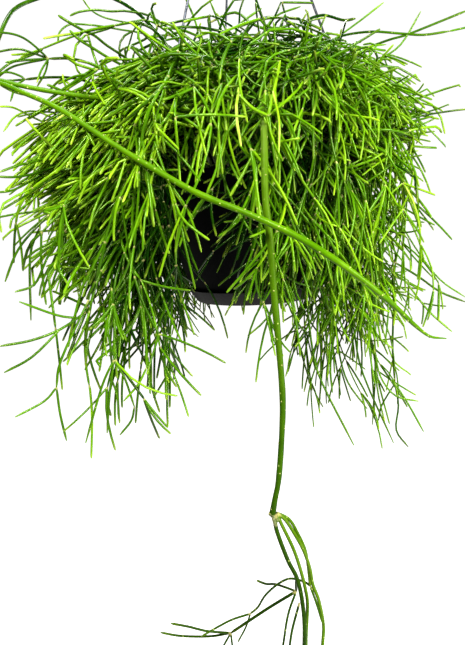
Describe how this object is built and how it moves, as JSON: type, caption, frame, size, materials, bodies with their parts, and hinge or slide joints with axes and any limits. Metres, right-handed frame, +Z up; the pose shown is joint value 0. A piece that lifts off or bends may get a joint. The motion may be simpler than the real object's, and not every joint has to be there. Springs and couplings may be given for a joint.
{
  "type": "potted rhipsalis in a hanging pot",
  "caption": "Mistletoe cactus with a dense dome of thin drooping jointed stems, in a black plastic pot with a clip-on saucer, hung by wires from a top hook.",
  "frame": {"origin": "inside top of the hook's crook, where the hook rests on what carries it", "axes": "+Z up, along the pot's axis through the hook; +Y towards the back of the pot, where the third wire is; +X to the right seen from the front"},
  "size_m": [0.4372, 0.4317, 0.8133],
  "materials": {
    "pot_plastic": "satin",
    "saucer_plastic": "satin",
    "potting_soil": "matte",
    "hanger_steel": "satin",
    "young_stems": "satin",
    "long_stem": "satin",
    "arching_stem": "satin"
  },
  "bodies": {
    "root": {"pot": "pot_plastic", "drip_saucer": "saucer_plastic", "soil": "potting_soil", "wire_left": "hanger_steel", "wire_right": "hanger_steel", "wire_back": "hanger_steel", "top_hook": "hanger_steel", "shoot_01": "young_stems", "shoot_02": "young_stems", "shoot_03": "young_stems", "shoot_04": "young_stems", "shoot_05": "young_stems", "shoot_06": "young_stems", "shoot_07": "young_stems", "shoot_08": "young_stems", "shoot_09": "young_stems", "shoot_10": "young_stems", "shoot_11": "young_stems", "shoot_12": "young_stems", "shoot_13": "young_stems", "shoot_14": "young_stems", "shoot_15": "young_stems", "shoot_16": "young_stems", "shoot_17": "young_stems", "shoot_18": "young_stems", "shoot_19": "young_stems", "shoot_20": "young_stems", "shoot_21": "young_stems", "shoot_22": "young_stems", "shoot_23": "young_stems", "shoot_24": "young_stems", "shoot_25": "young_stems", "shoot_26": "young_stems", "shoot_27": "young_stems", "shoot_28": "young_stems", "shoot_29": "young_stems", "shoot_30": "young_stems", "shoot_31": "young_stems", "shoot_32": "young_stems", "shoot_33": "young_stems", "shoot_34": "young_stems", "shoot_35": "young_stems", "shoot_36": "young_stems", "long_hanging_shoot": "long_stem", "arching_shoot": "arching_stem"}
  },
  "joints": []
}
